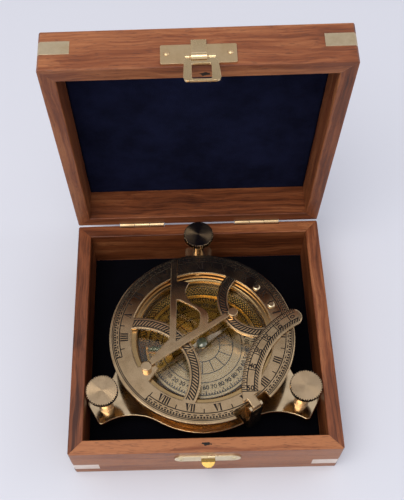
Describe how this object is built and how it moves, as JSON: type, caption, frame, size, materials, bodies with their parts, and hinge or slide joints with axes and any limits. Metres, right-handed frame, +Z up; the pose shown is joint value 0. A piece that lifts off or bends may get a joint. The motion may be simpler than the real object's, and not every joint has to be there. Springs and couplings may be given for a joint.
{
  "type": "compass box",
  "caption": "Hinged wooden case, standing open, with a brass sundial compass on levelling screws inside.",
  "frame": {"origin": "middle of the case's underside", "axes": "+Z up, +X to the right, +Y from the catch towards the hinges"},
  "size_m": [0.15, 0.1774, 0.1855],
  "materials": {
    "wood": "satin",
    "velvet": "matte",
    "brass": "polished",
    "glass": "polished",
    "vial": "polished",
    "dial": "polished",
    "needle_steel": "polished"
  },
  "bodies": {
    "base": {"base_front_wall": "wood", "base_right_wall": "wood", "base_back_wall": "wood", "base_left_wall": "wood", "base_panel": "wood", "base_lining": "velvet", "base_corner_straps": "brass", "catch_plate": "brass", "catch_nails": "brass", "left_base_leaf": "brass", "right_base_leaf": "brass", "left_hinge_pin": "brass", "right_hinge_pin": "brass", "base_hinge_nails": "brass"},
    "lid": {"lid_front_wall": "wood", "lid_right_wall": "wood", "lid_back_wall": "wood", "lid_left_wall": "wood", "lid_panel": "wood", "lid_lining": "velvet", "lid_corner_straps": "brass", "hasp_plate": "brass", "hasp_nails": "brass", "hasp_strip": "brass", "hasp_pin": "brass", "left_lid_leaf": "brass", "right_lid_leaf": "brass", "lid_hinge_nails": "brass"},
    "hasp": {"hasp": "brass"},
    "instrument": {"lobed_base": "brass", "bowl": "brass", "bezel": "brass", "glass": "glass", "cone_ring": "brass", "dial_card": "dial", "level_cradle": "brass", "spirit_level": "vial", "needle_pivot": "brass", "arc_post": "brass", "arc_pin": "brass", "ring_hinge_pin": "brass"},
    "needle": {"needle": "needle_steel"},
    "hour_ring": {"hour_ring": "brass", "ring_bracket": "brass", "ring_rivets": "brass", "gnomon_bosses": "brass"},
    "latitude_arc": {"latitude_arc": "brass"},
    "gnomon": {"gnomon": "brass"},
    "back_stud": {"back_stud": "brass"},
    "back_knob": {"back_knob": "brass"},
    "left_stud": {"left_stud": "brass"},
    "left_knob": {"left_knob": "brass"},
    "right_stud": {"right_stud": "brass"},
    "right_knob": {"right_knob": "brass"}
  },
  "joints": [
    {"name": "lid_hinge", "type": "hinge", "parent": "base", "child": "lid", "pos_m": [0, 0.0736, 0.0333], "axis": [-1, 0, 0], "range_deg": [-86, 0]},
    {"name": "hasp_hinge", "type": "hinge", "parent": "lid", "child": "hasp", "pos_m": [0, 0.06642, 0.18326], "axis": [-1, 0, 0], "range_deg": [0, 120]},
    {"name": "instrument_lift", "type": "slide", "parent": "base", "child": "instrument", "axis": [0, 0, 1], "range_m": [0, 0.09]},
    {"name": "needle_turn", "type": "hinge", "parent": "instrument", "child": "needle", "pos_m": [0, -0.009, 0.032], "axis": [0, 0, 1], "continuous": true},
    {"name": "hour_ring_tilt", "type": "hinge", "parent": "instrument", "child": "hour_ring", "pos_m": [0.0369, 0.01496, 0.023], "axis": [-0.5446, 0.8387, 0], "range_deg": [0, 8]},
    {"name": "latitude_arc_swing", "type": "hinge", "parent": "instrument", "child": "latitude_arc", "pos_m": [0.0275, -0.05135, 0.0425], "axis": [0.8387, 0.5446, 0], "range_deg": [0, 90]},
    {"name": "gnomon_fold", "type": "hinge", "parent": "hour_ring", "child": "gnomon", "pos_m": [-0.00038, -0.00841, 0.0453], "axis": [0.8387, 0.5446, 0], "range_deg": [0, 90]},
    {"name": "back_stud_rise", "type": "slide", "parent": "instrument", "child": "back_stud", "axis": [0, 0, 1], "range_m": [0, 0.003]},
    {"name": "back_knob_turn", "type": "hinge", "parent": "back_stud", "child": "back_knob", "pos_m": [0, 0.0555, 0.03], "axis": [0, 0, 1], "range_deg": [0, 1350]},
    {"name": "left_stud_rise", "type": "slide", "parent": "instrument", "child": "left_stud", "axis": [0, 0, 1], "range_m": [0, 0.003]},
    {"name": "left_knob_turn", "type": "hinge", "parent": "left_stud", "child": "left_knob", "pos_m": [-0.05586, -0.04125, 0.03], "axis": [0, 0, 1], "range_deg": [0, 1350]},
    {"name": "right_stud_rise", "type": "slide", "parent": "instrument", "child": "right_stud", "axis": [0, 0, 1], "range_m": [0, 0.003]},
    {"name": "right_knob_turn", "type": "hinge", "parent": "right_stud", "child": "right_knob", "pos_m": [0.05586, -0.04125, 0.03], "axis": [0, 0, 1], "range_deg": [0, 1350]}
  ],
  "couplings": [
    {"joint": "latitude_arc_swing", "follows": "hour_ring_tilt", "ratio": 11.25},
    {"joint": "back_stud_rise", "follows": "back_knob_turn", "m_per_rad": 0.000127},
    {"joint": "left_stud_rise", "follows": "left_knob_turn", "m_per_rad": 0.000127},
    {"joint": "right_stud_rise", "follows": "right_knob_turn", "m_per_rad": 0.000127}
  ]
}
